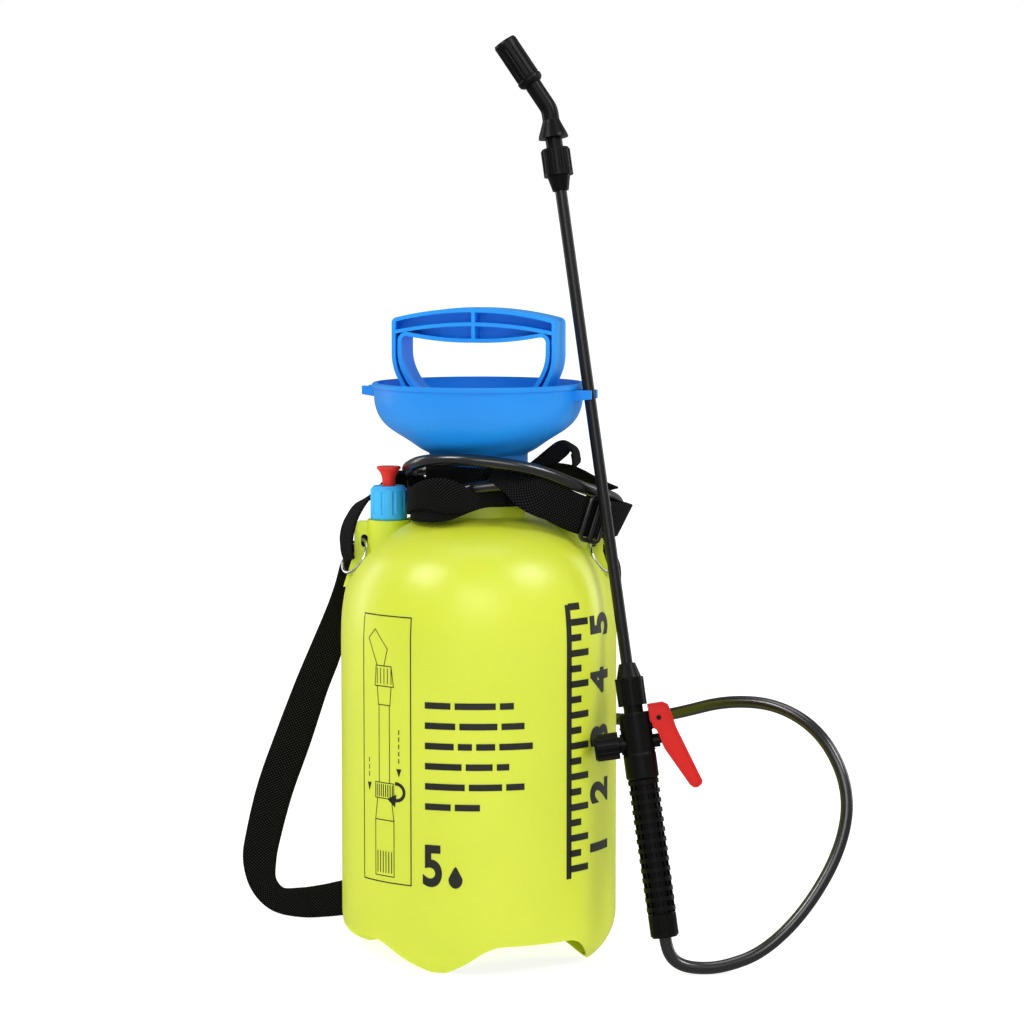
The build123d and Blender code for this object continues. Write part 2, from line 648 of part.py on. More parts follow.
with BuildPart() as lance_tube:
    extrude(disc(along_gun(LANCE_FOOT), LANCE_R, 2.3), amount=LANCE_TOP - LANCE_FOOT)
finish(lance_tube.part, "lance_tube")

with BuildPart() as lance_lower_seal:
    extrude(disc(along_gun(156.2), 6.2, LANCE_R), amount=2)
finish(lance_lower_seal.part, "lance_lower_seal")

with BuildPart() as lance_upper_nut:
    revolve(
        outline(
            GUN_SECTION,
            (4, UPPER_NUT), (5.2, UPPER_NUT), (7.4, 491.9), (9.5, 492.1), (9.5, 508.4), (8.4, 510),
            (5.7, 510), (5.7, 498.2), (4, 498.2),
        ),
        axis=GUN_AXIS,
    )
    extrude(circles(along_gun(494), 10, 14, 1.2), amount=18, mode=Mode.SUBTRACT)
finish(lance_upper_nut.part, "lance_upper_nut")

with BuildPart() as lance_upper_seal:
    extrude(disc(along_gun(498.4), 5.2, 2.3), amount=1.8)
finish(lance_upper_seal.part, "lance_upper_seal")

with BuildPart() as nozzle_elbow:
    revolve(
        outline(
            GUN_SECTION,
            (0, 500.2), (5.4, 500.2), (5.4, 516.8), (9.7, 516.8), (9.2, 519), (6.4, 526),
            (5.5, 528.5), (0, 528.5),
        ),
        axis=GUN_AXIS,
    )
    with BuildLine():
        elbow_path = FilletPolyline(
            GUN_END + GUN_UP * 528,
            NOZZLE_BEND,
            NOZZLE_BEND + NOZZLE_DIR * 24,
            radius=14,
        )
    with BuildSketch(Plane(origin=elbow_path @ 0, z_dir=elbow_path % 0)):
        Circle(5.5)
    sweep(path=elbow_path)
    revolve(
        outline(
            NOZZLE_SECTION,
            (0, 19.6), (6.4, 19.6), (8, 21), (8.35, 22.6), (8.35, 24), (7.6, 24.9), (5, 24.9),
            (5, 38), (0, 38),
        ),
        axis=NOZZLE_AXIS,
    )
    extrude(disc(along_gun(500), 2), amount=32, mode=Mode.SUBTRACT)
    extrude(disc(along_nozzle(1), 2), amount=38, mode=Mode.SUBTRACT)
finish(nozzle_elbow.part, "nozzle_elbow")

with BuildPart() as nozzle_core:
    extrude(disc(along_nozzle(38), 4.6), amount=6)
    extrude(circles(along_nozzle(38), 4.6, 4, 0.8), amount=6, mode=Mode.SUBTRACT)
finish(nozzle_core.part, "nozzle_core")

with BuildPart() as nozzle_cap:
    revolve(
        outline(
            NOZZLE_SECTION,
            (5.3, 25.2), (7.9, 25.2), (7.9, 51.2), (7.2, NOZZLE_END), (5.6, NOZZLE_END), (5.6, 49.4),
            (0.7, 48.4), (0.7, 44.4), (5.3, 44.4),
        ),
        axis=NOZZLE_AXIS,
    )
    extrude(circles(along_nozzle(25), 8.3, 14, 1), amount=22, mode=Mode.SUBTRACT)
finish(nozzle_cap.part, "nozzle_cap")

# The hose: straight runs joined by tangent arcs.
route = [Vector(*point) for point in HOSE_ROUTE]
radii = []
for before, corner, after in zip(route, route[1:], route[2:]):
    turn_angle = (corner - before).get_angle(after - corner)
    shorter = min((corner - before).length, (after - corner).length)
    radii.append(0.45 * shorter / tan(radians(turn_angle / 2)))
with BuildPart() as hose:
    with BuildLine():
        hose_path = FilletPolyline(*route, radius=radii)
    with BuildSketch(Plane(origin=hose_path @ 0, z_dir=hose_path % 0)):
        Circle(HOSE_R)
    sweep(path=hose_path)
hose_length = sum(edge.length for edge in hose_path.edges())
print("hose length", round(hose_length), "volume ratio", hose.part.volume / (pi * HOSE_R**2 * hose_length))
print("hose radii", [round(radius) for radius in radii])
finish(hose.part, "hose")

# The webbing strap, as plain solids.
LEFT_TAIL = Plane(origin=(-90.5, 4, 0), x_dir=(0.82, 0.572, 0), z_dir=(0.572, -0.82, 0))
with BuildPart() as strap_left_tail:
    tail = ribbon(LEFT_TAIL, ((0, 258), (1.5, 274), (11, 292), (25, 302), (46, 303)), 7)
    extrude(tail, amount=7, both=True)
finish(strap_left_tail.part, "strap_left_tail")

with BuildPart() as strap_neck:
    with BuildSketch(Plane.XY.offset(285.6)):
        with BuildLine():
            CenterArc((0, 0), 49.5, 196, 70)
        trace(line_width=2 * STRAP_HALF)
    extrude(amount=23)
finish(strap_neck.part, "strap_neck")

with BuildPart() as strap_collar:
    extrude(disc(Plane.XY.offset(301), 34.4, 32.8), amount=24)
finish(strap_collar.part, "strap_collar")

STRAP_FRONT = Plane(origin=(11, -54, 0), x_dir=(0.9337, 0.3581, 0), z_dir=(0.3581, -0.9337, 0))
with BuildPart() as strap_front:
    with BuildSketch(STRAP_FRONT):
        with BuildLine():
            Polyline((-2, 292.5), (1.5, 315), (72, 295), (65.5, 271), close=True)
        make_face()
    extrude(amount=STRAP_HALF, both=True)
finish(strap_front.part, "strap_front")

with BuildPart() as strap_adjuster:
    with BuildSketch(STRAP_FRONT.offset(STRAP_HALF + 0.3)) as frame:
        with Locations((68, 284)):
            RectangleRounded(17, 30.8, 3, rotation=-22)
            with Locations((-3.6, 1.45), (3.6, -1.45)):
                Rectangle(4.6, 25.6, rotation=-22, mode=Mode.SUBTRACT)
    extrude(amount=2.4)
finish(strap_adjuster.part, "strap_adjuster")

with BuildPart() as strap_right_end:
    end = ribbon(Plane.XZ.offset(-8), ((92, 262), (97, 274), (97, 287), (86, 288)), 4)
    extrude(end, amount=14)
finish(strap_right_end.part, "strap_right_end")

with BuildPart() as strap_upright:
    bight = ribbon(Plane.XZ.offset(-22), ((57.5, 309), (58, 330), (67, 331), (69, 300)), 4)
    extrude(bight, amount=13)
finish(strap_upright.part, "strap_upright")

SIDE_Y = 86.0
with BuildPart() as strap_side:
    with BuildSketch(Plane.XZ.offset(-SIDE_Y - STRAP_HALF)):
        with BuildLine():
            Polyline(
                (-93, 238), (-101, 214), (-122, 165), (-139, 115), (-151, 80), (-157.5, 45), (-157.5, 26),
                (-131, 1), (-94, 1), (-94, 27), (-138, 21), (-134, 50), (-122, 92), (-104, 145), (-94, 185),
                (-90, 238), close=True,
            )
        make_face()
    extrude(amount=2 * STRAP_HALF)
finish(strap_side.part, "strap_side")

with BuildPart() as strap_back:
    run = ribbon(Plane.XY.offset(1), ((-93, SIDE_Y), (-52, 100), (0, 109), (40, 99), (68, 74)), 30)
    extrude(run, amount=STRAP)
finish(strap_back.part, "strap_back")

RISE = Plane(origin=(0, 0, 0), x_dir=at(35, 1), z_dir=at(-55, 1))
with BuildPart() as strap_rise:
    rise = ribbon(RISE, ((97, 1), (97, 262), (88, 284), (71, 297)), 9)
    extrude(rise, amount=STRAP / 2, both=True)
finish(strap_rise.part, "strap_rise")
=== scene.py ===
import math

import bmesh
import bpy
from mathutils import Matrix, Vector
from mathutils.bvhtree import BVHTree


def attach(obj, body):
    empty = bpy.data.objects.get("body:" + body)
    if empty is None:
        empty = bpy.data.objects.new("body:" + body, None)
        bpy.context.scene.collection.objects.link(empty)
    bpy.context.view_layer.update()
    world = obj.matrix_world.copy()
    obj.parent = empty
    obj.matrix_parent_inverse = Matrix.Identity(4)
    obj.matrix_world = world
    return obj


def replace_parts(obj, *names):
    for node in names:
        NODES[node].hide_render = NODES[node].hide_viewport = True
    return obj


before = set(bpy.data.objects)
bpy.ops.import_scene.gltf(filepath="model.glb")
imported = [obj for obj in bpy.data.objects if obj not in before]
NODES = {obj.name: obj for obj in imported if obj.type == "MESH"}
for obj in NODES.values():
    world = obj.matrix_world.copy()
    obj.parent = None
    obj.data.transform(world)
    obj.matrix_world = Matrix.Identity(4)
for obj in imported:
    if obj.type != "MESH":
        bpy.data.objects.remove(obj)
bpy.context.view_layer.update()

MM = 0.001
YARN_ACROSS = 0.0025
YARN_ALONG = 0.0022
WEB_WIDTH = 25.0
WEB_THICK = 1.5
WEB_STEPS = 10
HOSE_D = 0.008
TANK_R = 90.0
PRINT_PROUD = 0.0001


# ---------------------------------------------------------------- camera
def look(obj, target):
    """Turn a camera or a lamp to face a point."""
    obj.rotation_euler = (Vector(target) - obj.location).to_track_quat("-Z", "Y").to_euler()


camera = bpy.data.objects.new("camera", bpy.data.cameras.new("camera"))
bpy.context.scene.collection.objects.link(camera)
camera.data.lens = 117.5
camera.data.sensor_width = 36
camera.location = (-0.0012, -2.168, 0.4967)
look(camera, (0.0217, 0.0, 0.2886))
bpy.context.scene.camera = camera

# ---------------------------------------------------------------- materials


class Shader:
    """A node material with a Principled shader and helpers for procedural detail."""

    def __init__(self, name, rough=0.4, **sockets):
        self.mat = bpy.data.materials.new(name)
        self.mat.use_nodes = True
        self.tree = self.mat.node_tree
        self.bsdf = self.tree.nodes["Principled BSDF"]
        self.bsdf.inputs["Roughness"].default_value = rough
        for socket, value in sockets.items():
            self.bsdf.inputs[socket.replace("_", " ")].default_value = value
        self.coords = self.add("ShaderNodeTexCoord")

    def add(self, kind, **settings):
        node = self.tree.nodes.new(kind)
        for key, value in settings.items():
            if key.startswith("in_"):
                node.inputs[key[3:].replace("_", " ")].default_value = value
            else:
                setattr(node, key, value)
        return node

    def link(self, source, target):
        self.tree.links.new(source, target)

    def noise(self, scale, detail=3.0):
        node = self.add("ShaderNodeTexNoise", in_Scale=scale, in_Detail=detail)
        self.link(self.coords.outputs["Object"], node.inputs["Vector"])
        return node.outputs["Fac"]

    def ramp(self, source, stops):
        node = self.add("ShaderNodeValToRGB")
        ramp = node.color_ramp
        while len(ramp.elements) < len(stops):
            ramp.elements.new(0.5)
        for element, (place, colour) in zip(ramp.elements, stops):
            element.position = place
            element.color = (*colour, 1)
        self.link(source, node.inputs["Fac"])
        return node.outputs["Color"]

    def math(self, operation, a, b=None):
        node = self.add("ShaderNodeMath", operation=operation)
        for socket, value in zip(node.inputs, (a, b)):
            if value is None:
                continue
            if isinstance(value, (int, float)):
                socket.default_value = value
            else:
                self.link(value, socket)
        return node.outputs[0]

    def colour(self, source):
        self.link(source, self.bsdf.inputs["Base Color"])

    def rough(self, source, low, high):
        node = self.add("ShaderNodeMapRange", in_To_Min=low, in_To_Max=high)
        self.link(source, node.inputs["Value"])
        self.link(node.outputs[0], self.bsdf.inputs["Roughness"])

    def bump(self, *heights):
        last = None
        for source, strength, distance in heights:
            node = self.add("ShaderNodeBump", in_Strength=strength, in_Distance=distance)
            self.link(source, node.inputs["Height"])
            if last:
                self.link(last, node.inputs["Normal"])
            last = node.outputs["Normal"]
        self.link(last, self.bsdf.inputs["Normal"])


def moulded(name, colour, shade, rough, grain=900, depth=0.00003, **sockets):
    """Moulded plastic: slight colour drift, fine skin grain and shallow flow waviness."""
    made = Shader(name, rough, **sockets)
    drift = made.noise(14, 4)
    made.colour(made.ramp(drift, ((0.3, shade), (0.7, colour))))
    made.rough(made.noise(60, 4), rough - 0.06, rough + 0.1)
    made.bump((made.noise(grain, 2), 0.35, depth), (made.noise(28, 2), 0.25, 0.0006))
    return made


def metal(name, colour, rough):
    """Polished metal with a little drift in its brightness and fine scratches."""
    made = Shader(name, rough, Metallic=1.0)
    made.colour(made.ramp(made.noise(90, 3), ((0.3, tuple(c * 0.8 for c in colour)), (0.7, colour))))
    made.rough(made.noise(400, 3), rough - 0.04, rough + 0.12)
    made.bump((made.noise(1500, 2), 0.2, 0.00001))
    return made


def webbing():
    """Woven webbing: staggered yarn bumps laid out by the ribbon's own lengths, in metres, with painted
    highlight on the yarn tops and painted shade between them.
    """
    made = Shader("webbing_weave", 0.75, Specular_IOR_Level=0.08)
    split = made.add("ShaderNodeSeparateXYZ")
    made.link(made.coords.outputs["UV"], split.inputs[0])
    across = made.math("SINE", made.math("MULTIPLY", split.outputs[0], 2 * math.pi / YARN_ACROSS))
    along = made.math("SINE", made.math("MULTIPLY", split.outputs[1], 2 * math.pi / YARN_ALONG))
    yarn = made.math("ADD", made.math("MULTIPLY", made.math("MULTIPLY", across, along), 0.5), 0.5)
    fuzz = made.math("MULTIPLY", made.noise(1400, 3), 0.15)
    mixed = made.math("ADD", made.math("MULTIPLY", yarn, 0.85), fuzz)
    # painted highlight and painted shade: the colour follows the yarn height, lighter on the yarn tops and
    # darker in the hollows between them
    made.colour(made.ramp(mixed, ((0.35, (0.001, 0.001, 0.001)), (0.6, (0.0022, 0.0022, 0.0022)),
                                  (0.85, (0.028, 0.028, 0.027)))))
    made.bump((mixed, 0.9, 0.0004), (made.noise(60, 3), 0.3, 0.0008))
    return made


TANK = moulded("tank_poly", (0.73, 0.83, 0.044), (0.68, 0.80, 0.034), 0.34, 700, 0.00002,
               Specular_IOR_Level=0.8, Subsurface_Weight=0.25, Subsurface_Scale=0.008,
               Subsurface_Radius=(1.0, 1.0, 0.3))
BLUE = moulded("blue_plastic", (0.010, 0.27, 0.82), (0.007, 0.235, 0.75), 0.42, 800, Specular_IOR_Level=0.35)
# painted light: the handle's blue is a lighter copy of BLUE, brightened to stand in for light the handle
# does not get
HANDLE_LIT_BLUE = moulded("handle_blue_painted_light", (0.014, 0.35, 0.96), (0.010, 0.31, 0.90), 0.42, 800,
                 Specular_IOR_Level=0.35)
SKY = moulded("sky_plastic", (0.055, 0.53, 1.0), (0.045, 0.48, 0.96), 0.36, 800, Specular_IOR_Level=0.4)
RED = moulded("red_plastic", (0.64, 0.009, 0.005), (0.53, 0.007, 0.004), 0.36, 800, Specular_IOR_Level=0.3)
# painted light: the relief pull's red is a brighter copy of the trigger's red, brightened to stand in for
# light on the pull
PULL_LIT_RED = moulded("pull_red_painted_light", (0.90, 0.035, 0.022), (0.82, 0.028, 0.018), 0.36, 800, Specular_IOR_Level=0.3)
BLACK = moulded("black_plastic", (0.0032, 0.0032, 0.0029), (0.0018, 0.0018, 0.0018), 0.34, 1100, 0.00004,
                Specular_IOR_Level=0.18)
TUBE = moulded("black_tube", (0.008, 0.008, 0.008), (0.005, 0.005, 0.005), 0.28, 1400,
               Specular_IOR_Level=0.4)
VINYL = moulded("black_vinyl", (0.008, 0.008, 0.008), (0.005, 0.005, 0.005), 0.22, 900, 0.00002,
                Specular_IOR_Level=1.0)
RUBBER = moulded("black_rubber", (0.014, 0.014, 0.014), (0.009, 0.009, 0.009), 0.6, 1200)
WHITE = moulded("white_plastic", (0.75, 0.75, 0.72), (0.68, 0.68, 0.65), 0.4, 800)
STEEL = metal("polished_wire", (0.75, 0.75, 0.76), 0.16)
INK = moulded("print_ink", (0.012, 0.014, 0.010), (0.02, 0.022, 0.014), 0.45, 1600)
WEBBING = webbing()
FLOOR = Shader("studio_floor", 0.9, Emission_Color=(1, 1, 1, 1), Specular_IOR_Level=0.0)
FLOOR.colour(FLOOR.ramp(FLOOR.noise(2.0, 2), ((0.3, (0.44, 0.44, 0.44)), (0.7, (0.46, 0.46, 0.46)))))
# the floor glows more with the distance from the object, where the softboxes don't reach it
away = FLOOR.add("ShaderNodeVectorMath", operation="LENGTH")
FLOOR.link(FLOOR.coords.outputs["Object"], away.inputs[0])
glow = FLOOR.add("ShaderNodeMapRange", in_From_Min=0.4, in_From_Max=1.6, in_To_Min=0.82, in_To_Max=1.0)
FLOOR.link(away.outputs["Value"], glow.inputs["Value"])
FLOOR.link(glow.outputs[0], FLOOR.bsdf.inputs["Emission Strength"])

PAINT = {
    TANK: ["tank"],
    BLUE: ["funnel", "pump_cap", "guide_bush"],
    HANDLE_LIT_BLUE: ["handle"],
    SKY: ["relief_body"],
    RED: ["trigger"],
    PULL_LIT_RED: ["relief_pull"],
    WHITE: ["pump_barrel", "pump_rod", "piston", "dip_tube", "foot_valve", "gun_filter"],
    STEEL: ["strap_ring_left", "strap_ring_right", "relief_spring", "valve_spring"],
    RUBBER: ["neck_gasket", "piston_seal", "relief_seal", "valve_seal", "lance_lower_seal",
             "lance_upper_seal"],
    TUBE: ["lance_tube"],
}
painted = {name: shader for shader, names in PAINT.items() for name in names}
for name, node in NODES.items():
    for slot in node.material_slots:
        slot.material = painted.get(name, BLACK).mat


# ---------------------------------------------------------------- mesh helpers
def piece(name, mesh, shader, body="tank"):
    """A new visible object that rides on a body, if one is named."""
    obj = bpy.data.objects.new(name, mesh)
    bpy.context.scene.collection.objects.link(obj)
    obj.data.materials.append(shader.mat)
    if body:
        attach(obj, body)
    return obj


def smooth_points(points, steps):
    """Catmull-Rom points through rows of numbers, `steps` to each span."""
    rows = [Vector(row) for row in points]
    rows = [rows[0] * 2 - rows[1]] + rows + [rows[-1] * 2 - rows[-2]]
    out = []
    for a, b, c, d in zip(rows, rows[1:], rows[2:], rows[3:]):
        for step in range(steps):
            t = step / steps
            out.append(0.5 * (2 * b + (c - a) * t + (2 * a - 5 * b + 4 * c - d) * t * t
                              + (3 * b - a - 3 * c + d) * t ** 3))
    return out + [rows[-2]]


def ribbon(name, stations, replaced=()):
    """Webbing through stations (x, y, z, width direction x, y, z[, width]) in mm."""
    stations = [s if len(s) == 7 else (*s, WEB_WIDTH) for s in stations]
    rows = smooth_points(stations, WEB_STEPS)
    section = [(-0.5, 0), (-0.48, 0.5), (-0.3, 0.5), (0, 0.5), (0.3, 0.5), (0.48, 0.5),
               (0.5, 0), (0.48, -0.5), (0.3, -0.5), (0, -0.5), (-0.3, -0.5), (-0.48, -0.5)]
    mesh = bmesh.new()
    uv = mesh.loops.layers.uv.new("length")
    rings, length = [], [0.0]
    for i, row in enumerate(rows):
        here = Vector(row[:3])
        before = Vector(rows[max(i - 1, 0)][:3])
        after = Vector(rows[min(i + 1, len(rows) - 1)][:3])
        tangent = (after - before).normalized()
        across = Vector(row[3:6])
        across = (across - tangent * across.dot(tangent)).normalized()
        normal = tangent.cross(across)
        if i:
            length.append(length[-1] + (here - before).length)
        rings.append([mesh.verts.new((here + across * u * row[6] + normal * v * WEB_THICK) * MM)
                      for u, v in section])
    for i, (a, b) in enumerate(zip(rings, rings[1:])):
        for j, (u, _) in enumerate(section):
            k = (j + 1) % len(section)
            face = mesh.faces.new((a[j], a[k], b[k], b[j]))
            face.smooth = True
            w = section[k][0]
            corners = ((u, length[i]), (w, length[i]), (w, length[i + 1]), (u, length[i + 1]))
            for loop, (x, y) in zip(face.loops, corners):
                loop[uv].uv = (x * WEB_WIDTH * MM, y * MM)
    mesh.faces.new(reversed(rings[0]))
    mesh.faces.new(rings[-1])
    bmesh.ops.recalc_face_normals(mesh, faces=mesh.faces)
    data = bpy.data.meshes.new(name)
    mesh.to_mesh(data)
    mesh.free()
    obj = piece(name, data, WEBBING)
    if replaced:
        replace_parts(obj, *replaced)


# ---------------------------------------------------------------- hose
HOSE_ROUTE = (
    (-4.3, 58.3, 298), (-24, 58.3, 298), (-40, 42, 297.5), (-43.5, 12, 297.5), (-38, -16, 300),
    (-22, -37, 304.5), (2, -45.5, 309), (26, -40, 311), (43, -22, 311), (48, 3, 311),
    (40, 28, 313), (19, 44, 314), (-8, 49, 314), (-33, 38, 314), (-46, 15, 314),
    (-46, -10, 319), (-35, -35, 325.5), (-10, -49, 327), (16, -51.5, 324.5), (41, -47, 319),
    (65, -35, 308), (80, -17, 302), (89, 5, 297), (93, 33, 290), (88, 63, 275),
    (66, 89, 251), (42, 108, 220), (37, 113, 186), (51, 106, 156), (76, 84, 141),
    (103, 56, 142), (132, 31, 151), (164, 10, 163), (197, -10, 163), (224, -30, 146),
    (239, -44, 112), (233, -53, 76), (210, -62, 38), (182, -69, 12), (155, -76.5, 4.05),
    (136, -79, 4.2), (124.8, -79.8, 8.2), (119.38, -79.36, 16.36), (118.3, -78.2, 24.2),
)
curve = bpy.data.curves.new("hose_line", "CURVE")
curve.dimensions = "3D"
curve.bevel_depth = HOSE_D / 2
curve.bevel_resolution = 6
curve.resolution_u = 10
spline = curve.splines.new("NURBS")
spline.points.add(len(HOSE_ROUTE) - 1)
for point, (x, y, z) in zip(spline.points, HOSE_ROUTE):
    point.co = (x * MM, y * MM, z * MM, 1)
spline.order_u = 3
spline.use_endpoint_u = True
hose = piece("hose_line", curve, VINYL)
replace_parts(hose, "hose")

# ---------------------------------------------------------------- strap
COLLAR_R = 33.7


def collar(turn):
    """The station on the strap's turn round the funnel's neck, which leans a little to the front right."""
    a = math.radians(turn)
    rise = 308.5 - 1.7 * math.cos(math.radians(turn + 28))
    return (COLLAR_R * math.cos(a), COLLAR_R * math.sin(a), rise, 0, 0, 1)


ribbon("webbing_tail", (
    (-84.5, 1, 257, 0.45, -0.89, 0, 17), (-86, 2, 264, 0.45, -0.89, 0, 18),
    (-86, 4, 274, 0.45, -0.89, 0, 19), (-82.5, 8, 285, 0.45, -0.87, 0.15, 20),
    (-74, 15, 296, 0.45, -0.8, 0.3, 21),
    (-58, 27, 303, 0.2, -0.6, 0.7, 23), (-44, 42, 299, -0.3, 0.3, -0.9), (-33, 58, 288, -0.4, 0.7, -0.6),
    (-14, 71, 277.5, 0, 0.85, -0.6), (12, 74, 275, 0.1, 0.85, -0.6), (36, 64, 278, 0.4, 0.7, -0.55),
    (52, 47, 286, 0.6, 0.5, -0.5), (58, 38, 292, 0.6, 0.5, -0.5),
), ["strap_left_tail"])
ribbon("webbing_collar", (
    *[collar(turn) for turn in range(-20, -351, -22)],
    (37, -9, 313, -0.3, 0, 1, 20), (42, -5, 320, -0.65, 0, 0.75, 13), (50, -2, 327, -0.65, 0.2, 0.75, 12),
    (57, 0, 331.5, -0.3, 0.9, 0.5, 14), (62, 1, 329, 0.3, 1, 0, 16), (63.5, 1, 323, 0.3, 1, 0, 18),
    (63.5, 2, 318.5, 0.3, 1, 0, 18),
), ["strap_collar", "strap_upright"])
ribbon("webbing_band", (
    (35, -4, 316, 0, 1, -0.25, 20), (45, 0, 318, 0, 1, -0.3, 20), (56, 4, 316, 0, 1, -0.45, 20),
    (66, 7, 312, 0, 1, -0.45, 22), (76, 10, 306, -0.2, 1, -0.45, 22), (81, 18, 301, -0.5, 0.7, -0.4, 22),
    (80, 30, 297, -0.7, 0.5, -0.5, 22), (72, 40, 294, -0.7, 0.5, -0.5, 22),
))
ribbon("webbing_lens", (
    (-44, -8, 300, 0, 0, 1, 24), (-45.5, -20, 300, 0, 0, 1, 22), (-43, -36, 300.5, 0, -0.1, 1, 15),
    (-36, -45, 303.5, 0.05, -0.2, 1, 18), (-27, -50.5, 304.5, 0.1, -0.2, 1, 22),
    (-18, -54, 303.5, 0.3, -0.2, 1, 22),
    (-9, -54.5, 301.5, 0.5, 0, 0.9, 16), (-0.5, -53.5, 300, 0.3, 0.5, 0.5, 8),
), ["strap_neck"])
ribbon("webbing_fold", (
    (-42, -6, 299, 0, 0, 1, 24), (-43.5, -18, 297, 0, 0, 1, 23), (-41.5, -33, 295.5, 0, 0.2, 1, 19),
    (-31, -43.5, 295.5, 0, 0.3, 1, 19), (-19, -48, 297.5, -0.1, 0.3, 1, 19),
    (-7, -48.5, 301, -0.1, 0.2, 1, 16),
    (4, -43, 304, 0, 0.1, 1, 17), (16, -38, 304.5, 0, 0.1, 1, 18),
))
ribbon("webbing_front", (
    (8, -41.5, 318, 0.1, 0.65, 0.76, 12), (14, -43.5, 317, 0.15, 0.65, 0.76, 17),
    (23, -47.5, 312.5, 0.3, 0.6, 0.8, 22), (34.5, -50.5, 305, 0.3, 0.3, 1),
    (47, -44.5, 299.2, 0.25, 0.15, 1),
    (58.5, -38, 293, 0.3, 0.1, 1), (67, -34, 289.5, 0.35, 0.1, 1), (76, -29, 286, 0.4, 0.1, 1),
), ["strap_front"])
ribbon("webbing_end", (
    (72, -29, 287.5, 0.4, 0.1, 1), (82, -20, 285.5, 0.4, 0.1, 1), (91, -8, 284, 0.4, 0, 0.95, 24),
    (95, 3, 283, 0.45, 0, 0.9, 23), (92, 14, 283, 0.35, -0.1, 0.9, 23), (84, 22, 284.5, 0.2, -0.2, 1, 24),
    (74, 26, 289, 0.1, -0.2, 1),
), ["strap_right_end"])
ribbon("webbing_leg", (
    (-40, 50, 300, 0.3, 0.2, 0.6, 20), (-58, 62, 286, 0.5, 0.5, 0.6, 18), (-74, 74, 268, 0.7, 0.5, 0.3, 14),
    (-86, 82, 249, 0.9, 0.3, 0, 13), (-91, 86, 231, 1, 0.4, -0.1, 14), (-95.5, 87, 212, 1, 0.3, -0.25, 18),
    (-104, 87, 186, 1, 0.1, -0.3, 22), (-114, 87, 161, 1, 0, -0.33, 23), (-126.5, 87, 126, 1, 0, -0.35),
    (-139, 87, 91, 1, 0, -0.3), (-147.5, 87, 58, 1, 0, -0.15, 24), (-150, 87, 41, 1, 0, 0.05, 23),
    (-147.5, 87, 25, 0.85, 0, 0.5, 19), (-137.5, 87, 14, 0.45, 0, 0.9, 18), (-121, 87, 11.8, 0.1, 0, 1, 21),
    (-104, 88, 13, 0, 0, 1, 23), (-85, 91, 15, 0, 0, 1), (-52, 100, 14, 0, 0, 1), (0, 109, 14, 0, 0, 1),
    (40, 99, 14, 0, 0, 1), (64, 80, 17, -0.2, 0.15, 1), (75, 67, 27, -0.6, 0.4, 0.7),
    (79.5, 58, 44, -0.8, 0.55, 0.2), (80, 56, 70, -0.82, 0.57, 0), (80, 56, 120, -0.82, 0.57, 0),
    (80, 56, 195, -0.82, 0.57, 0), (81, 56, 220, -0.82, 0.57, 0), (84.5, 55, 235, -0.82, 0.57, 0),
    (84, 54, 249, -0.82, 0.57, 0), (77, 50, 262, -0.82, 0.57, 0), (69, 46, 276, -0.82, 0.57, 0),
    (60, 41, 292, -0.8, 0.57, 0, 22),
), ["strap_side", "strap_back", "strap_rise"])


def slider(name, centre, along, across, size, bar):
    """The strap's slide buckle: a rounded frame with a middle bar, at a place on the webbing."""
    along = Vector(along).normalized()
    across = (Vector(across) - along * along.dot(Vector(across))).normalized()
    face = across.cross(along)
    half_w, half_l, round_r = size[0] / 2, size[1] / 2, 3.2
    path = []
    for turn, (sx, sy) in enumerate(((1, 1), (-1, 1), (-1, -1), (1, -1))):
        for step in range(5):
            a = math.radians(90 * turn + 22.5 * step)
            path.append((sx * (half_w - round_r) + round_r * math.cos(a),
                         sy * (half_l - round_r) + round_r * math.sin(a)))
    mesh = bmesh.new()

    def tube(points, closed):
        rings = []
        for i, (w, l) in enumerate(points):
            before = points[i - 1] if closed or i else points[0]
            after = points[(i + 1) % len(points)] if closed or i + 1 < len(points) else points[-1]
            side = Vector((after[1] - before[1], before[0] - after[0])).normalized()
            ring = []
            for step in range(10):
                a = 2 * math.pi * step / 10
                out, up = bar[0] / 2 * math.cos(a), bar[1] / 2 * math.sin(a)
                spot = Vector(centre) + across * (w + side.x * out) + along * (l + side.y * out) + face * up
                ring.append(mesh.verts.new(spot * MM))
            rings.append(ring)
        pairs = list(zip(rings, rings[1:])) + ([(rings[-1], rings[0])] if closed else [])
        for a, b in pairs:
            for j in range(10):
                mesh.faces.new((a[j], a[(j + 1) % 10], b[(j + 1) % 10], b[j])).smooth = True
        if not closed:
            mesh.faces.new(rings[0])
            mesh.faces.new(rings[-1])

    tube(path, True)
    tube([(half_w * (k / 4 - 1), 0.0) for k in range(9)], False)
    bmesh.ops.recalc_face_normals(mesh, faces=mesh.faces)
    data = bpy.data.meshes.new(name)
    mesh.to_mesh(data)
    mesh.free()
    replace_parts(piece(name, data, VINYL), "strap_adjuster")


slider("buckle", (74.5, -32.6, 286.5), (0.85, 0.5, -0.3), (0.38, 0.1, 0.9), (28, 14), (3.2, 3.0))

# ---------------------------------------------------------------- prints on the tank
tank_tree = BVHTree.FromObject(NODES["tank"], bpy.context.evaluated_depsgraph_get())


def on_tank(u, z):
    """The tank's surface at arc length u (mm, from the front, to the right) and height z (mm)."""
    turn = u / TANK_R
    out = Vector((math.sin(turn), -math.cos(turn), 0))
    hit = tank_tree.ray_cast(out * 0.2 + Vector((0, 0, z * MM)), -out)
    return hit[0] + hit[1] * PRINT_PROUD


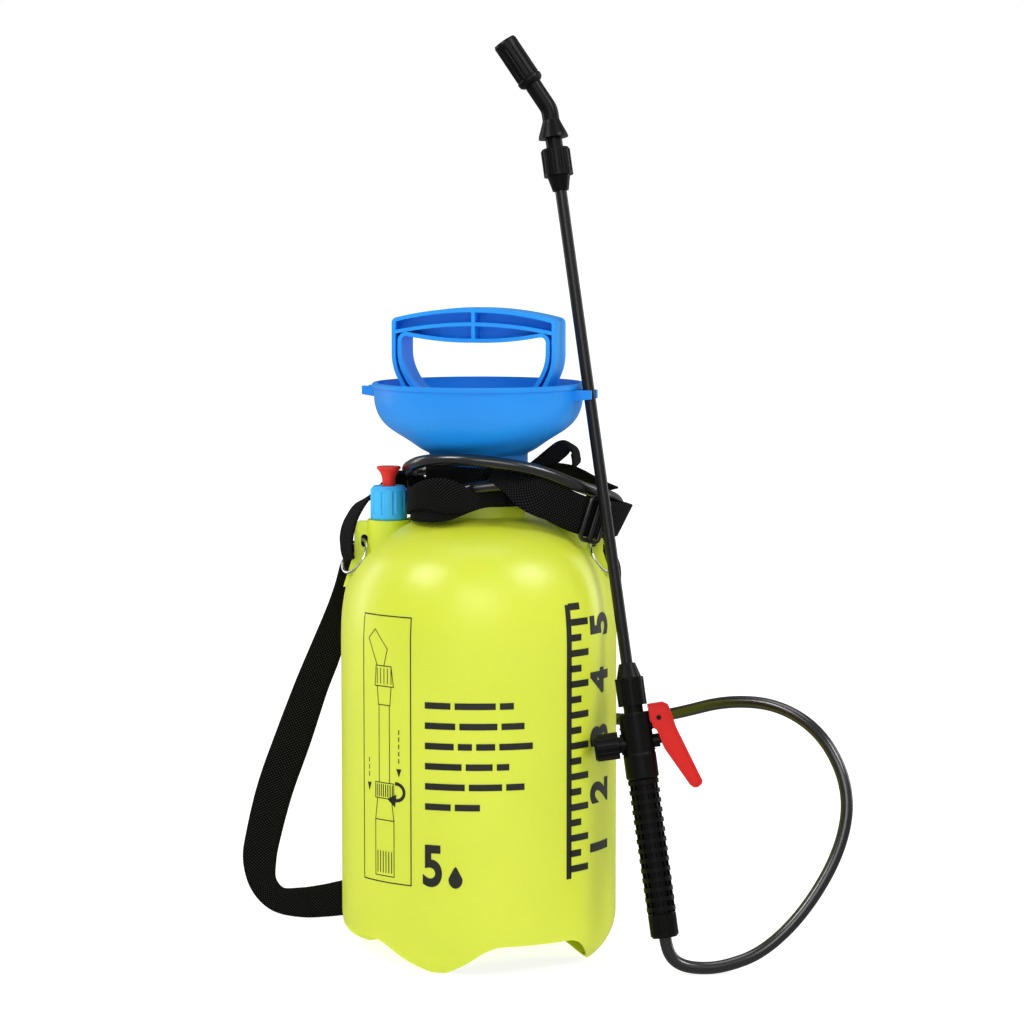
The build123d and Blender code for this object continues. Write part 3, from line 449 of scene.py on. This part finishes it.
def flat_text(body, size, u, z, bold, turn=0.0, stretch=1.0):
    """The points (u, z) in mm and the faces of one line of digits, centred on u and z."""
    text = bpy.data.curves.new("digits", "FONT")
    text.body = body
    text.size = size
    text.offset = bold
    text.align_x = "CENTER"
    text.align_y = "CENTER"
    temp = bpy.data.objects.new("digits", text)
    bpy.context.scene.collection.objects.link(temp)
    mesh = bpy.data.meshes.new_from_object(temp.evaluated_get(bpy.context.evaluated_depsgraph_get()))
    bpy.data.objects.remove(temp)
    bpy.data.curves.remove(text)
    cos, sin = math.cos(turn), math.sin(turn)
    points = [(u + (v.co.x * cos - v.co.y * sin) * stretch, z + v.co.x * sin + v.co.y * cos)
              for v in mesh.vertices]
    faces = [tuple(p.vertices) for p in mesh.polygons]
    bpy.data.meshes.remove(mesh)
    return points, faces


class Print:
    """Flat shapes in (u, z) mm that are cut into strips and laid on the tank."""

    def __init__(self):
        self.mesh = bmesh.new()

    def polygon(self, points):
        self.mesh.faces.new([self.mesh.verts.new((u, z, 0)) for u, z in points])

    def bar(self, u, z, width, height):
        """A filled rectangle from its lower left corner."""
        self.polygon(((u, z), (u + width, z), (u + width, z + height), (u, z + height)))

    def line(self, points, width):
        """A pen line of mitred quads."""
        pts = [Vector(p) for p in points]
        sides = []
        for i, p in enumerate(pts):
            into = (p - pts[i - 1]).normalized() if i else (pts[1] - p).normalized()
            out = (pts[i + 1] - p).normalized() if i + 1 < len(pts) else into
            bend = (into + out).normalized()
            normal = Vector((-bend.y, bend.x)) * (width / 2 / max(0.5, bend.dot(into)))
            sides.append((p + normal, p - normal))
        for (a, b), (c, d) in zip(sides, sides[1:]):
            self.polygon((a, b, d, c))

    def loop(self, points, width):
        self.line([*points, points[0]], width)

    def drop(self, u, z):
        """A falling drop with its middle at u and z."""
        outline = []
        for turn in range(0, 360, 12):
            side, up = math.sin(math.radians(turn)), math.cos(math.radians(turn))
            tip = max(0, up)
            outline.append((u + 4.6 * side * (1 - 0.5 * tip), z + 6 * up + 2 * tip ** 3))
        self.polygon(outline)

    def arc(self, u, z, radius, start, end, width, tall=1.0):
        """A pen line along an ellipse from one angle in degrees to another."""
        steps = 14
        angles = [math.radians(start + (end - start) * i / steps) for i in range(steps + 1)]
        self.line([(u + radius * math.cos(a), z + radius * tall * math.sin(a)) for a in angles], width)

    def text(self, *args, **kwargs):
        """Digits, with the arguments of flat_text."""
        points, faces = flat_text(*args, **kwargs)
        verts = [self.mesh.verts.new((u, z, 0)) for u, z in points]
        for face in faces:
            self.mesh.faces.new([verts[i] for i in face])

    def lay(self, name):
        """Cut the shapes into strips narrow enough to follow the tank, and lay them on it."""
        for axis, step in ((Vector((1, 0, 0)), 2.5), (Vector((0, 1, 0)), 6.0)):
            spots = [v.co.dot(axis) for v in self.mesh.verts]
            low, high = min(spots), max(spots)
            for i in range(1, int((high - low) / step) + 1):
                bmesh.ops.bisect_plane(
                    self.mesh, geom=[*self.mesh.verts, *self.mesh.edges, *self.mesh.faces],
                    plane_co=axis * (low + i * step), plane_no=axis)
        for vert in self.mesh.verts:
            vert.co = on_tank(vert.co.x, vert.co.y)
        bmesh.ops.recalc_face_normals(self.mesh, faces=self.mesh.faces)
        data = bpy.data.meshes.new(name)
        self.mesh.to_mesh(data)
        self.mesh.free()
        piece(name, data, INK)


# a plain drawing of a spray tip, its tube and its ring, with arrows that show their turn and travel
PEN = 0.6
HATCH = 0.7
EDGE = 0.8
panel = Print()
panel.loop(((-86, 58), (-45, 58), (-45, 229), (-86, 229)), EDGE)
panel.loop(((-80, 214), (-74, 220), (-63, 208), (-66, 197), (-72, 197)), PEN)
panel.loop(((-73, 197), (-60, 197), (-58, 184), (-74, 184)), PEN)
for i in range(5):
    panel.line(((-72 + 3 * i, 195.5), (-72 + 3 * i, 185.5)), PEN)
panel.loop(((-72, 184), (-60, 184), (-61, 172), (-71, 172)), PEN)
panel.loop(((-70.5, 172), (-61.5, 172), (-61.5, 122), (-70.5, 122)), PEN)
panel.loop(((-74, 122), (-58, 122), (-58, 112), (-74, 112)), PEN)
for i in range(8):
    panel.line(((-72.5 + 1.9 * i, 121), (-72.5 + 1.9 * i, 113)), EDGE)
panel.loop(((-72, 112), (-60, 112), (-58, 98), (-74, 98)), PEN)
panel.loop(((-74, 98), (-58, 98), (-58, 62), (-74, 62)), PEN)
for i in range(6):
    panel.line(((-72 + 2.4 * i, 78), (-72 + 2.4 * i, 64)), HATCH)
for i in range(5):
    panel.bar(-54.4, 154 - 4.6 * i, 0.8, 3)
panel.polygon(((-56, 132), (-52, 132), (-54, 126.5)))
for i in range(3):
    panel.bar(-80.4, 134 - 4.6 * i, 0.8, 3)
panel.polygon(((-82, 121), (-78, 121), (-80, 115.5)))
panel.arc(-56, 117, 6, -110, 100, 2.2, 0.9)
panel.polygon(((-63.5, 112), (-56, 115.5), (-57, 107)))
panel.lay("print_panel")

# bars that stand for six rows of words, with the tank's content below them
lines = Print()
ROWS = ((17, 26, 9), (20, 24, 15), (19, 9, 12, 22), (24, 17, 8), (26, 21, 12), (17, 16))
for row, words in enumerate(ROWS):
    at_u = -35.0
    for word in words:
        lines.bar(at_u, 172.2 - 12.9 * row, word, 4.2)
        at_u += word + 2.6
lines.text("5", 36, -30, 70.5, 1.1, stretch=0.8)
lines.drop(-15, 64)
lines.lay("print_lines")

# the level scale, with its digits on their side
scale = Print()
scale.bar(60, 60, 4.2, 176)
for i in range(18):
    scale.bar(63, 64 + 9.9 * i, 10 if i % 2 else 17, 4.4)
for i in range(5):
    scale.text(str(i + 1), 30, 95, 77 + 36 * i, 1.4, turn=math.pi / 2)
scale.lay("print_scale")

# ---------------------------------------------------------------- studio
SPOKES = 64
floor = bmesh.new()
turns = [2 * math.pi * i / SPOKES for i in range(SPOKES)]
rings = [[floor.verts.new((r * math.cos(a), r * math.sin(a), 0)) for a in turns] for r in (1.5, 6, 60)]
floor.faces.new(rings[0])
for a, b in zip(rings, rings[1:]):
    for i in range(SPOKES):
        k = (i + 1) % SPOKES
        floor.faces.new((a[i], a[k], b[k], b[i]))
floor_mesh = bpy.data.meshes.new("studio")
floor.to_mesh(floor_mesh)
floor.free()
studio = piece("studio", floor_mesh, FLOOR, None)
studio.visible_glossy = False


def softbox(name, spot, size, power):
    """A rectangular area light that faces the tank's middle."""
    lamp = bpy.data.objects.new(name, bpy.data.lights.new(name, "AREA"))
    bpy.context.scene.collection.objects.link(lamp)
    lamp.data.shape = "RECTANGLE"
    lamp.data.size, lamp.data.size_y = size
    lamp.data.energy = power
    lamp.location = spot
    look(lamp, (0, 0, 0.25))


softbox("key_left", (-1.9, -1.2, 2.3), (0.9, 0.9), 27)
softbox("key_right", (1.9, -1.2, 2.3), (0.9, 0.9), 29)
softbox("front", (0, -3.2, 1.6), (2.2, 1.4), 24)
softbox("top", (0, 0.3, 2.6), (1.4, 1.4), 14)
softbox("rim_left", (-2.4, 1.2, 0.9), (0.6, 1.8), 12)
softbox("rim_right", (2.4, 1.2, 0.9), (0.6, 1.8), 12)

# the air is white to the camera, and dimmer as a light
world = bpy.data.worlds.new("studio_air")
bpy.context.scene.world = world
world.use_nodes = True
air = world.node_tree.nodes["Background"]
air.inputs["Color"].default_value = (1, 1, 1, 1)
seen = world.node_tree.nodes.new("ShaderNodeLightPath")
level = world.node_tree.nodes.new("ShaderNodeMapRange")
level.inputs["To Min"].default_value = 0.25
level.inputs["To Max"].default_value = 1.0
world.node_tree.links.new(seen.outputs["Is Camera Ray"], level.inputs["Value"])
world.node_tree.links.new(level.outputs[0], air.inputs["Strength"])
bpy.context.scene.view_settings.view_transform = "Standard"
